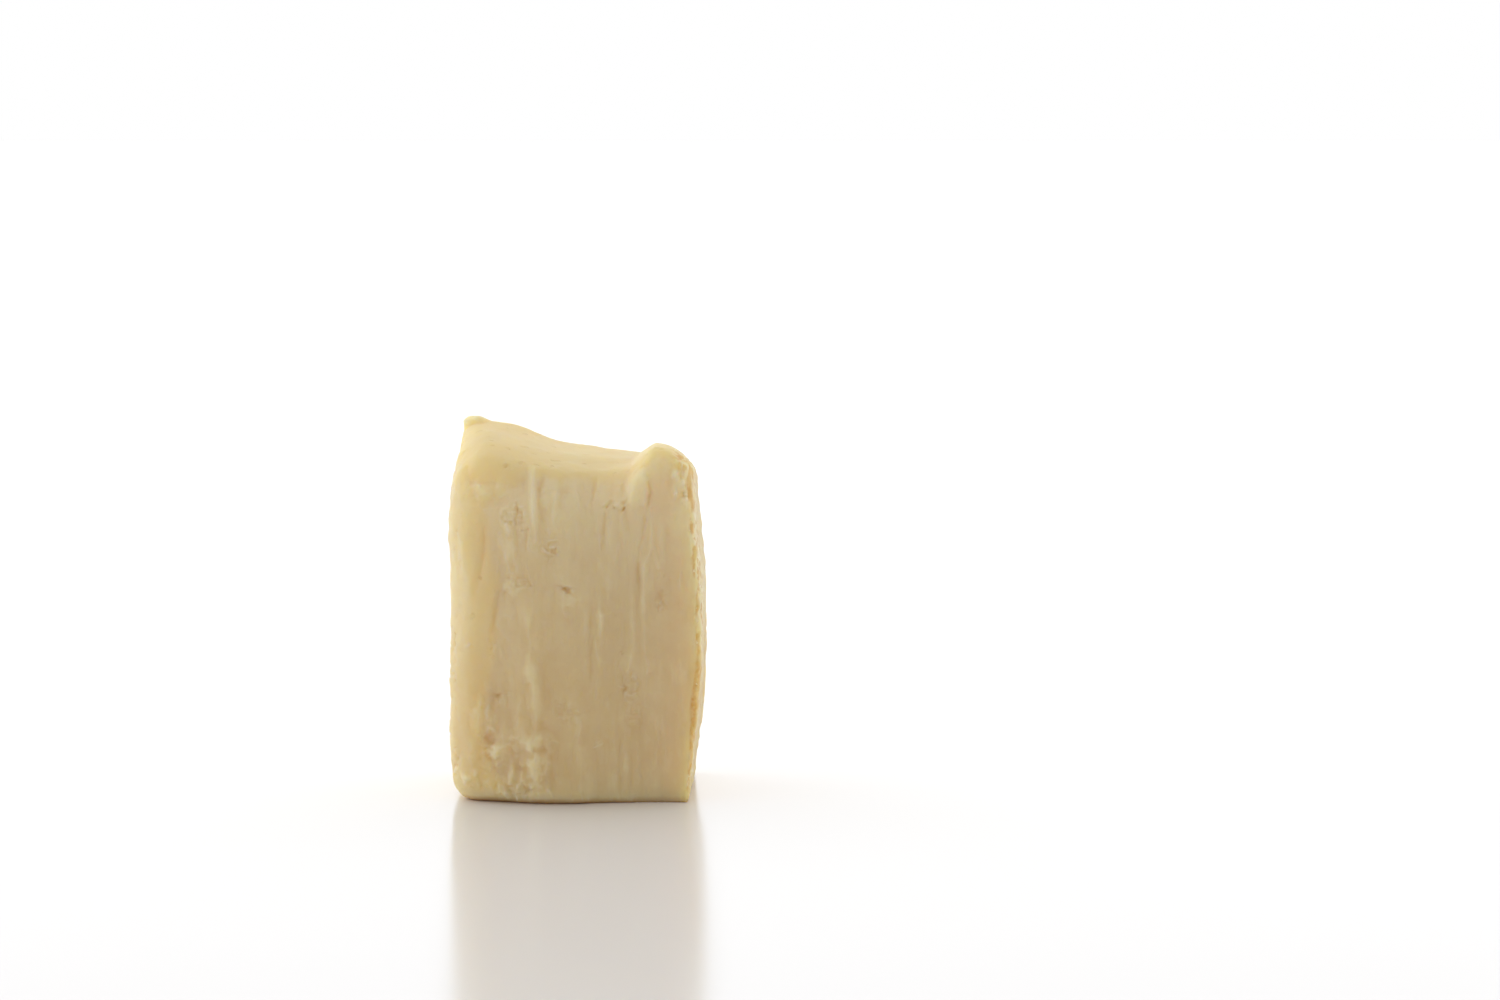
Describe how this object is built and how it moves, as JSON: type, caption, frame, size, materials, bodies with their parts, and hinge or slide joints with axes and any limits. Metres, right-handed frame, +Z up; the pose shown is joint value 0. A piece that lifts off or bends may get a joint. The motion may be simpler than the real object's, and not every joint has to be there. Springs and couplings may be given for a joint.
{
  "type": "fudge square",
  "caption": "Hand-cut block of cream-coloured butter fudge standing on end, with soft edges, knife scores, pores, crumbs and a raised top corner.",
  "frame": {"origin": "middle of the block's bounding box at the height of the surface it stands on", "axes": "+Z up along the block's length, +X to the right of the knife-scored front face, -Y out of that face"},
  "size_m": [0.0264, 0.0218, 0.0384],
  "materials": {
    "fudge": "satin, slightly waxy and translucent"
  },
  "bodies": {
    "root": {"fudge_square": "fudge"}
  },
  "joints": []
}
